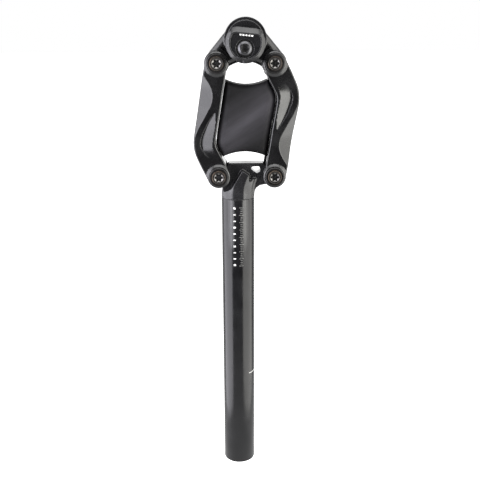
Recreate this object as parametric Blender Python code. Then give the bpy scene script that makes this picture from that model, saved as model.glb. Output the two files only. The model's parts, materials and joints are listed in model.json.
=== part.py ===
"""Long-travel parallelogram suspension seatpost, modelled as its separate pieces.

The origin is the centre of the tube's lower end. +Z runs up the tube, +X towards the
front of the bicycle and +Y to its left. Two equal links carry the saddle clamp on the
tube, and a rubber block between them is the spring. Lengths are in metres.
"""

import math

import bmesh
import bpy
from mathutils import Matrix, Vector

MM = 0.001
GAP = 0.3 * MM
THROUGH = 40 * MM
SIDES = ((-1, "right"), (1, "left"))

TUBE_RADIUS = 13.6 * MM
TUBE_WALL = 2.0 * MM
TUBE_TOP = 251.5 * MM
TUBE_CHAMFER = 0.6 * MM

PIVOT_HEIGHT = 271.9 * MM
PIVOT_MIDDLE_X = 7.0 * MM
PIVOT_SPACING = 46.0 * MM
LINK_LENGTH = 90.5 * MM
LINK_LEAN = math.radians(0.42)
FULL_SWING = math.radians(55)

BOSS_RADIUS = 8.2 * MM
BOSS_HALF_WIDTH = 11.6 * MM
BOSS_BORE = 6.2 * MM
BUSHING_LENGTH = 8.0 * MM
FLANGE_RADIUS = 7.8 * MM
FLANGE_THICKNESS = 0.8 * MM
EAR_RADIUS = 8.8 * MM
EAR_THICKNESS = 5.4 * MM
EAR_INNER = BOSS_HALF_WIDTH + GAP + FLANGE_THICKNESS + GAP
LINK_HALF_WIDTH = EAR_INNER + EAR_THICKNESS
SHAFT_RADIUS = 4.7 * MM
SHAFT_THREAD = 3.2 * MM
WASHER_RADIUS = 7.7 * MM
WASHER_HOLE = 3.5 * MM
WASHER_THICKNESS = 0.9 * MM
PIVOT_BOLT_HEAD = 5.75 * MM
PIVOT_BOLT_HEIGHT = 1.3 * MM
PIVOT_BOLT_LENGTH = 12.0 * MM
LOBE_RADIUS = 2.45 * MM
LOBE_DEPTH = 0.4 * MM
LOBE_COUNT = 6

NECK_RADIUS = 13.85 * MM
NECK_TOP = PIVOT_HEIGHT + 6 * MM
SPIGOT_FOOT = 214.0 * MM
SPIGOT_HOLLOW = 8.4 * MM
SPIGOT_HOLLOW_TOP = 250.0 * MM
NECK_SWEEP = 15.0 * MM
WEB_HALF_WIDTH = 6.5 * MM
WEB_TOP = 9.4 * MM
HEAD_CLEARANCE = 0.7 * MM

BARREL_X = 6.3 * MM
BARREL_Z = 380.7 * MM
BARREL_RADIUS = 16.4 * MM
BARREL_BORE = 12.6 * MM
BARREL_HALF_WIDTH = 13.4 * MM
UPPER_BOSS_RADIUS = 10.0 * MM
ARCH_RADIUS = 23.6 * MM
ARCH_DROP = 22.6 * MM
ARM_WEB_HALF_WIDTH = 8.6 * MM
ARM_DROP = 5.0 * MM

CLAMP_TILT = math.radians(6)
CLAMP_SPIGOT = 7.4 * MM
CLAMP_FLANGE = 17.3 * MM
CLAMP_FLANGE_RIM = 15.6 * MM
CLAMP_FACE = 17.9 * MM
CLAMP_FACE_RADIUS = 14.9 * MM
SEAT_RADIUS = 14.2 * MM
SEAT_TOP = 8.4 * MM
SEAT_FACE = 21.6 * MM
CAP_RADIUS = 15.5 * MM
CAP_DROP = 2.7 * MM
CAP_TOP = 8.8 * MM
CAP_SHOULDER = 1.6 * MM
CAP_INNER = 22.4 * MM
CAP_EDGE = 25.4 * MM
CAP_OUTER = 28.3 * MM
CAP_FACE_RADIUS = 12.9 * MM
CAP_FACE_TOP = 4.8 * MM
DISH_RADIUS = 12.0 * MM
DISH_TOP = 4.0 * MM
DISH_DEPTH = 0.9 * MM
RAIL_RADIUS = 3.6 * MM
RAIL_FLARE = 0.9 * MM
RAIL_HALF_LENGTH = 18.0 * MM
RAIL_HALF_SPACING = 22.0 * MM
RAIL_HEIGHT = 5.0 * MM
CLAMP_BOLT_DROP = 6.9 * MM
CLAMP_BOLT_RADIUS = 3.0 * MM
CLAMP_BOLT_HEAD = 5.5 * MM
CLAMP_BOLT_TOP = 27.6 * MM
CLAMP_BOLT_SEAT = 25.9 * MM
CLAMP_BOLT_END = 27.2 * MM
BOLT_WELL_RADIUS = 6.9 * MM
BOLT_WELL_FLOOR = 24.4 * MM
HEX_RADIUS = 2.9 * MM
HEX_DEPTH = 2.4 * MM

ELASTOMER_HALF_DEPTH = 15.0 * MM
ELASTOMER_LOW = 17.2 * MM
ELASTOMER_HIGH = 77.2 * MM
ELASTOMER_HOLLOW = 4.0 * MM
ELASTOMER_CLEARANCE = 0.45 * MM
ELASTOMER_ROUNDING = 2.5 * MM
ELASTOMER_AXIS = (21.6 * MM, 244.4 * MM)

# Curves of a link's side view: (distance along the link, offset) in millimetres from the
# pivot at its wide end. Negative offsets are on the outer side, away from the elastomer.
LINK_OUTER = [
    (-3.8, -7.9), (4, -11.8), (10.6, -15.0), (17.6, -18.0), (22, -19.4), (26, -20.0),
    (30, -19.9), (38, -18.3), (48, -16.4), (62, -14.0), (76, -11.7), (94.3, -8.0),
]
LINK_INNER = [
    (-3.8, 7.9), (3, 8.3), (8, 6.8), (12, 5.0), (20, 0.8), (24, -1.1), (28.5, -1.8),
    (38, -0.5), (53, 2.2), (66, 4.3), (78, 6.6), (84, 7.4), (94.3, 7.9),
]
FLANK_EDGE = [
    (34, -18.4), (40.4, -15.4), (46, -12.0), (52, -8.6), (58, -5.3), (64, -3.9),
    (69.5, -4.3), (74.8, -6.4), (81, -10.2), (84, -10.2),
]
POCKET_OUTER = [(12.4, -2.6), (19, -9.4), (24.5, -12.9), (31, -12.4), (42, -7.5), (52, -1.4)]
POCKET_INNER = [(12.4, -1.6), (18.3, -2.2), (24.5, -4.1), (31, -3.9), (41, -1.9), (52, -0.9)]
POCKET_DEPTH = 3.2 * MM
FLANK_SLOPE = 0.9
EDGE = 0.8 * MM

LINK_STATIONS = 30
ROUND = 20
FINE_ROUND = 36
TUBE_ROUND = 48
SHARP = math.radians(32)


def clear_scene():
    for obj in list(bpy.data.objects):
        bpy.data.objects.remove(obj)


def make_material(name, colour, roughness, metallic):
    material = bpy.data.materials.new(name)
    material.use_nodes = True
    shader = material.node_tree.nodes["Principled BSDF"]
    shader.inputs["Base Color"].default_value = (*colour, 1)
    shader.inputs["Roughness"].default_value = roughness
    shader.inputs["Metallic"].default_value = metallic
    return material


def add_object(name, mesh_data, material=None):
    """A new object from a bmesh, with its faces pointing outwards and shaded smooth."""
    bmesh.ops.recalc_face_normals(mesh_data, faces=mesh_data.faces)
    mesh = bpy.data.meshes.new(name)
    mesh_data.to_mesh(mesh)
    mesh_data.free()
    mesh.shade_smooth()
    mesh.set_sharp_from_angle(angle=SHARP)
    obj = bpy.data.objects.new(name, mesh)
    bpy.context.collection.objects.link(obj)
    if material:
        mesh.materials.append(material)
    return obj


def loft(name, rings, material=None, closed=False):
    """A solid through equal rings of points, capped at its ends or closed on itself."""
    mesh_data = bmesh.new()
    rows = [[mesh_data.verts.new(point) for point in ring] for ring in rings]
    following = rows[1:] + rows[:1] if closed else rows[1:]
    for low, high in zip(rows, following):
        for i in range(len(low)):
            j = (i + 1) % len(low)
            mesh_data.faces.new((low[i], low[j], high[j], high[i]))
    if not closed:
        mesh_data.faces.new(reversed(rows[0]))
        mesh_data.faces.new(rows[-1])
    return add_object(name, mesh_data, material)


def circle(x, z, radius, y, steps=ROUND):
    angles = [2 * math.pi * step / steps for step in range(steps)]
    return [(x + radius * math.cos(a), y, z + radius * math.sin(a)) for a in angles]


def round_loft(name, profile, material=None, steps=ROUND):
    """A solid body round Y, capped at both ends, from (radius, y) points."""
    return loft(name, [circle(0, 0, radius, y, steps) for radius, y in profile], material)


def rod(name, radius, half_length, steps=ROUND):
    """A plain cylinder along Y, centred on the origin."""
    return round_loft(name, [(radius, -half_length), (radius, half_length)], steps=steps)


def turned(name, profile, material=None, steps=ROUND, upright=False):
    """A ring-shaped body turned about Y, or about Z, from a closed (radius, y) profile."""
    rings = []
    for step in range(steps):
        angle = 2 * math.pi * step / steps
        rings.append([(r * math.cos(angle), y, r * math.sin(angle)) for r, y in profile])
    body = loft(name, rings, material, closed=True)
    if upright:
        body.data.transform(Matrix.Rotation(math.radians(90), 4, "X"))
    return body


def prism(name, outline, y_low, y_high, material=None):
    """A solid with the (x, z) outline, between two values of y."""
    rings = [[(x, y, z) for x, z in outline] for y in (y_low, y_high)]
    return loft(name, rings, material)


def in_mm(points):
    """Points given in millimetres, as metres."""
    return [(x * MM, z * MM) for x, z in points]


def arc(x, z, radius, start, end, steps):
    """Points on an arc, with its angles in degrees from +X towards +Z."""
    points = []
    for step in range(steps + 1):
        angle = math.radians(start + (end - start) * step / steps)
        points.append((x + radius * math.cos(angle), z + radius * math.sin(angle)))
    return points


def curve_at(knots, position):
    """The value at a position on the smooth curve through (position, value) knots."""
    last = len(knots) - 1
    position = min(max(position, knots[0][0]), knots[last][0])
    index = max(k for k in range(last) if knots[k][0] <= position)
    (p0, v0), (p1, v1) = knots[index], knots[index + 1]
    t = (position - p0) / (p1 - p0)
    m0 = knot_slope(knots, index) * (p1 - p0)
    m1 = knot_slope(knots, index + 1) * (p1 - p0)
    start = v0 * (2 * t**3 - 3 * t**2 + 1) + m0 * (t**3 - 2 * t**2 + t)
    end = v1 * (3 * t**2 - 2 * t**3) + m1 * (t**3 - t**2)
    return start + end


def knot_slope(knots, index):
    before = knots[max(index - 1, 0)]
    after = knots[min(index + 1, len(knots) - 1)]
    return (after[1] - before[1]) / (after[0] - before[0])


def combine(target, other, operation="DIFFERENCE"):
    """Cuts, joins or keeps the shared part of target and a hidden helper object."""
    other.hide_render = True
    other.display_type = "WIRE"
    other.parent = target
    modifier = target.modifiers.new(f"{operation.lower()} {other.name}", "BOOLEAN")
    modifier.operation = operation
    modifier.solver = "EXACT"
    modifier.object = other
    return target


def place(obj, x, z, turn=0.0):
    """Stands the object's own origin at (x, 0, z), turned about Y."""
    obj.location = (x, 0, z)
    obj.rotation_euler = (0, turn, 0)
    return obj


def pivots():
    """The four pivot points as (x, z)."""
    rear = PIVOT_MIDDLE_X - PIVOT_SPACING / 2
    front = rear + PIVOT_SPACING
    across = LINK_LENGTH * math.sin(LINK_LEAN)
    top = PIVOT_HEIGHT + LINK_LENGTH * math.cos(LINK_LEAN)
    return {
        "lower_rear": (rear, PIVOT_HEIGHT),
        "lower_front": (front, PIVOT_HEIGHT),
        "upper_rear": (rear - across, top),
        "upper_front": (front - across, top),
    }


def build_tube(material):
    inner = TUBE_RADIUS - TUBE_WALL
    profile = [
        (inner, 0), (TUBE_RADIUS - TUBE_CHAMFER, 0), (TUBE_RADIUS, TUBE_CHAMFER),
        (TUBE_RADIUS, TUBE_TOP), (inner, TUBE_TOP),
    ]
    turned("post_tube", profile, material, TUBE_ROUND, upright=True)


def neck_outline():
    """Side outline that the round neck keeps in front of the web: a ridge to one side."""
    rear_x, rear_z = pivots()["lower_rear"]
    sweep = arc(rear_x, rear_z, NECK_SWEEP, -82, -46, 5)
    ridge = [(4.2, 275.4), (5.6, 275.9), (9.3, 272.2), (11.5, 269.4), (16, 268.6)]
    foot = [(16, 200), (-16, 200)]
    return sweep + in_mm(ridge + foot)


def web_outline():
    """Side outline of the plate that joins the neck and the two lower bosses."""
    rear_x, height = pivots()["lower_rear"]
    front_x = rear_x + PIVOT_SPACING
    shoulder = height + 5.5 * MM
    top = height + WEB_TOP
    neck_side = in_mm([(-13.2, 254), (-13.4, 261), (-15.5, 264.5)])
    upper = [
        (rear_x, height), (rear_x + 5 * MM, shoulder), (rear_x + 9 * MM, top),
        (front_x - 9 * MM, top), (front_x - 5 * MM, shoulder), (front_x, height),
        (front_x - 1 * MM, height - BOSS_RADIUS + 0.2 * MM),
    ]
    flare = in_mm([(23.5, 263.2), (18.6, 262.3), (15.6, 260.2), (13.9, 256.8), (13.2, 252.5)])
    return neck_side + upper + flare


def web_window():
    """The small three-cornered hole through the web, beside the ridge."""
    corners = [(12.9, 277.4, 180, 90), (16.8, 277.3, 90, -10), (16.2, 274.9, -10, -120)]
    points = []
    for x, z, start, end in corners:
        points += arc(x * MM, z * MM, 1.5 * MM, start, end, 4)
    return points


def build_lower_head(material):
    """The forged lower head: spigot, round neck with its ridge, web and two bosses."""
    spigot = TUBE_RADIUS - TUBE_WALL - GAP
    foot = TUBE_TOP + GAP
    centre = 0.5 * MM
    rounding = 0.4 * MM
    profile = [
        (SPIGOT_HOLLOW, SPIGOT_FOOT), (spigot, SPIGOT_FOOT), (spigot, foot),
        (NECK_RADIUS - rounding, foot), (NECK_RADIUS, foot + rounding),
        (NECK_RADIUS, NECK_TOP), (centre, NECK_TOP), (centre, SPIGOT_HOLLOW_TOP + 6 * MM),
        (SPIGOT_HOLLOW, SPIGOT_HOLLOW_TOP),
    ]
    head = turned("lower_head", profile, material, FINE_ROUND, upright=True)
    combine(head, prism("neck_keep", neck_outline(), -THROUGH, THROUGH), "INTERSECT")
    web = prism("head_web", web_outline(), -WEB_HALF_WIDTH, WEB_HALF_WIDTH)
    combine(head, web, "UNION")
    for name in ("lower_rear", "lower_front"):
        boss = rod(f"{name}_boss", BOSS_RADIUS, BOSS_HALF_WIDTH, FINE_ROUND)
        combine(head, place(boss, *pivots()[name]), "UNION")
    for name in ("lower_rear", "lower_front"):
        bore = rod(f"{name}_bore", BOSS_BORE, THROUGH)
        combine(head, place(bore, *pivots()[name]))
    return combine(head, prism("web_window", web_window(), -THROUGH, THROUGH))


def build_upper_head(material):
    """The forged upper head: clamp barrel, two arms with their bosses, and the arch."""
    rear_x, rear_z = pivots()["upper_rear"]
    front_x, front_z = pivots()["upper_front"]
    middle_x = (rear_x + front_x) / 2
    outline = arc(BARREL_X, BARREL_Z, BARREL_RADIUS, 25, 155, 12)
    outline += arc(rear_x, rear_z, UPPER_BOSS_RADIUS, 145, 330, 16)
    outline += arc(middle_x, rear_z - ARCH_DROP, ARCH_RADIUS, 129, 51, 10)
    outline += arc(front_x, front_z, UPPER_BOSS_RADIUS, 210, 395, 16)
    head = prism("upper_head", outline, -BOSS_HALF_WIDTH, BOSS_HALF_WIDTH, material)
    barrel = rod("barrel", BARREL_RADIUS, BARREL_HALF_WIDTH, FINE_ROUND)
    combine(head, place(barrel, BARREL_X, BARREL_Z), "UNION")
    for side, hand in SIDES:
        combine(head, arm_scoop("upper_rear", 1, side, hand))
        combine(head, arm_scoop("upper_front", -1, side, hand))
    bore = rod("barrel_bore", BARREL_BORE, THROUGH, FINE_ROUND)
    combine(head, place(bore, BARREL_X, BARREL_Z))
    for name in ("upper_rear", "upper_front"):
        pivot_bore = rod(f"{name}_bore", BOSS_BORE, THROUGH)
        combine(head, place(pivot_bore, *pivots()[name]))
    return head


def arm_scoop(name, direction, side, hand):
    """The hollow in one side of an arm, between its boss, the barrel and the outer rib."""
    x, z = pivots()[name]
    corners = in_mm([(6.5, 10.0), (12.4, 6.0), (10.6, 14.6), (6.0, 16.2), (2.6, 12.2)])
    outline = [(x + direction * across, z + up) for across, up in corners]
    y_low, y_high = sorted((side * ARM_WEB_HALF_WIDTH, side * THROUGH))
    return prism(f"{name}_scoop_{hand}", outline, y_low, y_high)


def link_section(position):
    """Half of a link's cross-section at a position along it, from inner to outer side."""
    inner = curve_at(LINK_INNER, position) * MM
    outer = curve_at(LINK_OUTER, position) * MM
    flank = max(outer + EDGE, flank_offset(position))
    spine = LINK_HALF_WIDTH - max(EDGE, FLANK_SLOPE * (flank - outer))
    low, high, depth = pocket_at(position, inner, flank)
    floor = LINK_HALF_WIDTH - depth
    wall = 0.35 * (high - low)
    return [
        (inner, 0), (inner, LINK_HALF_WIDTH - EDGE), (inner - EDGE, LINK_HALF_WIDTH),
        (high, LINK_HALF_WIDTH), (high - min(wall, EDGE), floor), (low + wall, floor),
        (low, LINK_HALF_WIDTH), (flank, LINK_HALF_WIDTH), (outer, spine), (outer, 0),
    ]


def flank_offset(position):
    """Where the flat side face ends and the outer flank begins, or the outer side."""
    if FLANK_EDGE[0][0] < position < FLANK_EDGE[-1][0]:
        return curve_at(FLANK_EDGE, position) * MM
    return curve_at(LINK_OUTER, position) * MM


def pocket_at(position, inner, flank):
    """Outer edge, inner edge and depth of the side pocket at a position."""
    start, end = POCKET_OUTER[0][0], POCKET_OUTER[-1][0]
    if start < position < end:
        share = (position - start) / (end - start)
        depth = POCKET_DEPTH * min(1.0, 5 * share, 2.2 * (1 - share))
        low = curve_at(POCKET_OUTER, position) * MM
        high = curve_at(POCKET_INNER, position) * MM
        return low, high, depth
    middle = (inner + flank) / 2
    return middle - 0.5 * MM, middle + 0.5 * MM, 0.0


def build_link(name, material):
    """A forked link, lying along Z with the pivot of its wide end at the origin."""
    low, high = LINK_OUTER[0][0], LINK_OUTER[-1][0]
    rings = []
    for step in range(LINK_STATIONS + 1):
        position = low + (high - low) * step / LINK_STATIONS
        half = link_section(position)
        ring = [(x, -y, position * MM) for x, y in half]
        ring += [(x, y, position * MM) for x, y in reversed(half[1:-1])]
        rings.append(ring)
    link = loft(name, rings, material)
    ends = {"wide": 0.0, "narrow": LINK_LENGTH}
    for end, height in ends.items():
        ear = rod(f"{name}_{end}_ear", EAR_RADIUS, LINK_HALF_WIDTH - 0.1 * MM, FINE_ROUND)
        combine(link, place(ear, 0, height), "UNION")
    for end, height in ends.items():
        fork = rod(f"{name}_{end}_fork", UPPER_BOSS_RADIUS + 3 * GAP, EAR_INNER, FINE_ROUND)
        combine(link, place(fork, 0, height))
    web_reach = WEB_TOP + HEAD_CLEARANCE
    web_width = WEB_HALF_WIDTH + HEAD_CLEARANCE
    combine(link, swing_notch(f"{name}_web_notch", 0, web_reach, web_width))
    combine(link, swing_notch(f"{name}_swung_web_notch", FULL_SWING, web_reach, web_width))
    arm_reach = ARM_DROP + HEAD_CLEARANCE
    arm_width = BOSS_HALF_WIDTH + HEAD_CLEARANCE
    combine(link, swing_notch(f"{name}_swung_arm_notch", FULL_SWING, arm_reach, arm_width))
    for end, height in ends.items():
        bore = rod(f"{name}_{end}_bore", SHAFT_RADIUS + GAP, THROUGH)
        combine(link, place(bore, 0, height))
    return link


def swing_notch(name, swing, reach, half_width):
    """Room at a link's narrow end for the head that it has folded down over, at a swing.

    The head's edge then passes the pivot at the distance reach, square to the swing.
    """
    towards_head = Vector((math.sin(swing), math.cos(swing)))
    along_edge = Vector((math.cos(swing), -math.sin(swing)))
    middle = Vector((0, LINK_LENGTH)) - reach * towards_head
    near = [middle - THROUGH * along_edge, middle + THROUGH * along_edge]
    far = [point + THROUGH * towards_head for point in reversed(near)]
    outline = [(point.x, point.y) for point in near + far]
    return prism(name, outline, -half_width, half_width)


def build_links(material):
    """The same link twice: the rear one upright, the front one turned end for end."""
    rear = place(build_link("rear_link", material), *pivots()["lower_rear"], -LINK_LEAN)
    front = build_link("front_link", material)
    place(front, *pivots()["upper_front"], math.pi - LINK_LEAN)
    return rear, front


def elastomer_outline():
    """Side outline of the rubber block, (x, z) from the lower rear pivot."""
    steps = 12
    rear = []
    front = []
    for step in range(steps + 1):
        rise = (ELASTOMER_HIGH - ELASTOMER_LOW) * step / steps
        low = ELASTOMER_LOW + rise
        high = ELASTOMER_HIGH - rise
        facing = curve_at(LINK_INNER, (LINK_LENGTH - high) / MM) * MM
        rear.append((curve_at(LINK_INNER, low / MM) * MM + ELASTOMER_CLEARANCE, low))
        front.append((PIVOT_SPACING - facing - ELASTOMER_CLEARANCE, high))
    top = hollow_edge(rear[-1], front[0], -ELASTOMER_HOLLOW)
    bottom = hollow_edge(front[-1], rear[0], ELASTOMER_HOLLOW)
    return rear + top + front + bottom


def hollow_edge(start, end, depth, steps=9):
    """Points between two corners on a shallow curve that dips by depth."""
    points = []
    for step in range(1, steps):
        share = step / steps
        dip = depth * 4 * share * (1 - share)
        x = start[0] + (end[0] - start[0]) * share
        points.append((x, start[1] + (end[1] - start[1]) * share + dip))
    return points


def build_elastomer(material):
    """The block's sides draw in a little towards its two end faces."""
    outline = elastomer_outline()
    middle = Vector((PIVOT_SPACING, ELASTOMER_LOW + ELASTOMER_HIGH)) / 2
    face = ELASTOMER_HALF_DEPTH
    full = face - ELASTOMER_ROUNDING
    rings = []
    for y, size in ((-face, 0.94), (-full, 1), (full, 1), (face, 0.94)):
        points = [middle + (Vector(point) - middle) * size for point in outline]
        rings.append([(point.x, y, point.y) for point in points])
    return place(loft("elastomer", rings, material), *pivots()["lower_rear"], -LINK_LEAN)


def build_pivot(name, steel, bolt_steel, bronze, washer_black):
    """One pivot: returns the shaft, washers and bolts, and apart from them the bushings."""
    x, z = pivots()[name]
    turning = [place(build_shaft(f"{name}_shaft", steel), x, z)]
    bushings = []
    for side, hand in SIDES:
        bushing = build_bushing(f"{name}_bushing_{hand}", bronze)
        washer = build_washer(f"{name}_washer_{hand}", washer_black)
        bolt = build_pivot_bolt(f"{name}_bolt_{hand}", bolt_steel)
        for piece in (bushing, washer, bolt):
            place(piece, x, z)
            piece.rotation_euler.z = math.pi if side > 0 else 0.0
        bushings.append(bushing)
        turning += [washer, bolt]
    return turning, bushings


def build_shaft(name, material):
    end = LINK_HALF_WIDTH - 0.2 * MM
    profile = [(SHAFT_THREAD, -end), (SHAFT_RADIUS, -end), (SHAFT_RADIUS, end),
               (SHAFT_THREAD, end)]
    return turned(name, profile, material)


def build_bushing(name, material):
    """A flanged bushing for the boss end that faces -Y."""
    flange_inner = -BOSS_HALF_WIDTH - GAP
    flange_outer = flange_inner - FLANGE_THICKNESS
    end = flange_inner + BUSHING_LENGTH
    sleeve = BOSS_BORE - GAP
    hole = SHAFT_RADIUS + GAP
    profile = [(hole, flange_outer), (FLANGE_RADIUS, flange_outer), (FLANGE_RADIUS, flange_inner),
               (sleeve, flange_inner), (sleeve, end), (hole, end)]
    return turned(name, profile, material)


def build_washer(name, material):
    """The dark washer between an ear and its bolt head, facing -Y."""
    inner_face = -LINK_HALF_WIDTH - GAP
    outer_face = inner_face - WASHER_THICKNESS
    profile = [(WASHER_HOLE, outer_face), (WASHER_RADIUS - 0.5 * MM, outer_face),
               (WASHER_RADIUS, outer_face + 0.4 * MM), (WASHER_RADIUS, inner_face),
               (WASHER_HOLE, inner_face)]
    return turned(name, profile, material)


def build_pivot_bolt(name, material):
    """A flat-headed bolt with a six-lobed socket, its head facing -Y."""
    seat = -LINK_HALF_WIDTH - WASHER_THICKNESS - 2 * GAP
    top = seat - PIVOT_BOLT_HEIGHT
    shank = SHAFT_THREAD - GAP
    tip = seat + PIVOT_BOLT_LENGTH
    chamfer = 0.6 * MM
    bolt = round_loft(name, [
        (PIVOT_BOLT_HEAD - chamfer, top), (PIVOT_BOLT_HEAD, top + chamfer),
        (PIVOT_BOLT_HEAD, seat), (shank, seat), (shank, tip), (shank - chamfer, tip + chamfer),
    ], material)
    return combine(bolt, loft(f"{name}_socket", [lobes(top - 1 * MM), lobes(top + 2.2 * MM)]))


def lobes(y):
    """A six-lobed socket outline at y."""
    steps = 2 * LOBE_COUNT
    points = []
    for step in range(steps):
        angle = 2 * math.pi * step / steps
        radius = LOBE_RADIUS + LOBE_DEPTH * math.cos(LOBE_COUNT * angle)
        points.append((radius * math.cos(angle), y, radius * math.sin(angle)))
    return points


def d_outline(radius, top, y, steps=26):
    """A clamp piece's outline at y: round, with a flat top and rounded shoulders."""
    points = []
    for step in range(steps):
        angle = 2 * math.pi * step / steps + math.pi / 2
        z = -CAP_DROP + radius * math.sin(angle)
        over = z - (top - CAP_SHOULDER)
        if over > 0:
            z = top - CAP_SHOULDER * math.exp(-over / CAP_SHOULDER)
        points.append((radius * math.cos(angle), y, z))
    return points


def rail_channel(name, side):
    """Cutter for a saddle rail's channel, flared towards both ends."""
    steps = 4
    rings = []
    for step in range(-steps, steps + 1):
        share = step / steps
        radius = RAIL_RADIUS + RAIL_FLARE * share**2
        ring = circle(side * RAIL_HALF_SPACING, RAIL_HEIGHT, radius, share * RAIL_HALF_LENGTH, 16)
        rings.append([(along, across, up) for across, along, up in ring])
    return loft(name, rings)


def bolt_hole(name):
    """Cutter for the clamp bolt's clearance hole, right through the clamp."""
    hole = rod(name, CLAMP_BOLT_RADIUS + GAP, THROUGH)
    return place(hole, 0, -CLAMP_BOLT_DROP)


def build_inner_clamp(name, side, material):
    """The cradle for one rail: spigot in the barrel, tapered flange and rail seat."""
    spigot = BARREL_BORE - GAP
    flange_inner = BARREL_HALF_WIDTH + GAP
    profile = [(spigot, CLAMP_SPIGOT), (spigot, flange_inner), (CLAMP_FLANGE, flange_inner),
               (CLAMP_FLANGE, CLAMP_FLANGE_RIM), (CLAMP_FACE_RADIUS, CLAMP_FACE)]
    clamp = round_loft(name, [(r, side * y) for r, y in profile], material, FINE_ROUND)
    faces = (CLAMP_FACE - 0.5 * MM, SEAT_FACE)
    seat = loft(f"{name}_seat", [d_outline(SEAT_RADIUS, SEAT_TOP, side * y) for y in faces])
    combine(clamp, seat, "UNION")
    combine(clamp, rail_channel(f"{name}_channel", side))
    combine(clamp, bolt_hole(f"{name}_hole"))
    return place(clamp, BARREL_X, BARREL_Z, CLAMP_TILT)


def build_outer_clamp(name, side, material):
    """The cap that presses one rail home: a dished plate with a deep bolt well."""
    rings = [
        d_outline(CAP_RADIUS, CAP_TOP, side * CAP_INNER),
        d_outline(CAP_RADIUS, CAP_TOP, side * CAP_EDGE),
        d_outline(CAP_FACE_RADIUS, CAP_FACE_TOP, side * CAP_OUTER),
    ]
    clamp = loft(name, rings, material)
    depths = (CAP_OUTER - DISH_DEPTH, THROUGH)
    dish = loft(f"{name}_dish", [d_outline(DISH_RADIUS, DISH_TOP, side * y) for y in depths])
    combine(clamp, dish)
    combine(clamp, rail_channel(f"{name}_channel", side))
    well = [(BOLT_WELL_RADIUS, side * BOLT_WELL_FLOOR), (BOLT_WELL_RADIUS, side * THROUGH)]
    combine(clamp, place(round_loft(f"{name}_well", well), 0, -CLAMP_BOLT_DROP))
    combine(clamp, bolt_hole(f"{name}_hole"))
    return place(clamp, BARREL_X, BARREL_Z, CLAMP_TILT)


def place_on_clamp_bolt(obj):
    """Stands a piece on the clamp bolt's axis, which tilts with the clamp."""
    x = BARREL_X - CLAMP_BOLT_DROP * math.sin(CLAMP_TILT)
    z = BARREL_Z - CLAMP_BOLT_DROP * math.cos(CLAMP_TILT)
    return place(obj, x, z, CLAMP_TILT)


def build_clamp_bolt(material):
    """The long socket bolt that runs through the whole clamp, with its head at -Y."""
    chamfer = 0.7 * MM
    bolt = round_loft("clamp_bolt", [
        (CLAMP_BOLT_HEAD - chamfer, -CLAMP_BOLT_TOP), (CLAMP_BOLT_HEAD, chamfer - CLAMP_BOLT_TOP),
        (CLAMP_BOLT_HEAD, -CLAMP_BOLT_SEAT), (CLAMP_BOLT_RADIUS, -CLAMP_BOLT_SEAT),
        (CLAMP_BOLT_RADIUS, CLAMP_BOLT_END - chamfer),
        (CLAMP_BOLT_RADIUS - chamfer, CLAMP_BOLT_END),
    ], material)
    ends = (-CLAMP_BOLT_TOP - 1 * MM, -CLAMP_BOLT_TOP + HEX_DEPTH)
    socket = loft("clamp_bolt_socket", [circle(0, 0, HEX_RADIUS, y, 6) for y in ends])
    return place_on_clamp_bolt(combine(bolt, socket))


def build_clamp_nut(material):
    """The six-sided nut at the clamp bolt's far end."""
    ends = (BOLT_WELL_FLOOR + GAP, CLAMP_BOLT_END + 2 * GAP)
    nut = loft("clamp_nut", [circle(0, 0, 6.2 * MM, y, 6) for y in ends], material)
    thread = rod("clamp_nut_thread", CLAMP_BOLT_RADIUS + GAP, THROUGH)
    return place_on_clamp_bolt(combine(nut, thread))


def build_clamp_washer(material):
    """The washer under the clamp bolt's head, at the bottom of its well."""
    hole = CLAMP_BOLT_RADIUS + GAP
    outer_face = -CLAMP_BOLT_SEAT + GAP
    inner_face = -BOLT_WELL_FLOOR - GAP
    profile = [(hole, outer_face), (BOLT_WELL_RADIUS - 0.5 * MM, outer_face),
               (BOLT_WELL_RADIUS - 0.5 * MM, inner_face), (hole, inner_face)]
    return place_on_clamp_bolt(turned("clamp_washer", profile, material))


def joint_axis(name, x, z, parent=None):
    """An empty on a joint's axis, riding on its parent empty."""
    axis = bpy.data.objects.new(name, None)
    axis.empty_display_size = 5 * MM
    bpy.context.collection.objects.link(axis)
    axis.location = (x, 0, z)
    if parent:
        carry(parent, [axis])
    return axis


def carry(axis, pieces):
    """Parents pieces to an unrotated empty without moving them."""
    origin = axis.location.copy()
    above = axis.parent
    while above:
        origin += above.location
        above = above.parent
    for piece in pieces:
        piece.parent = axis
        piece.location -= origin


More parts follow.
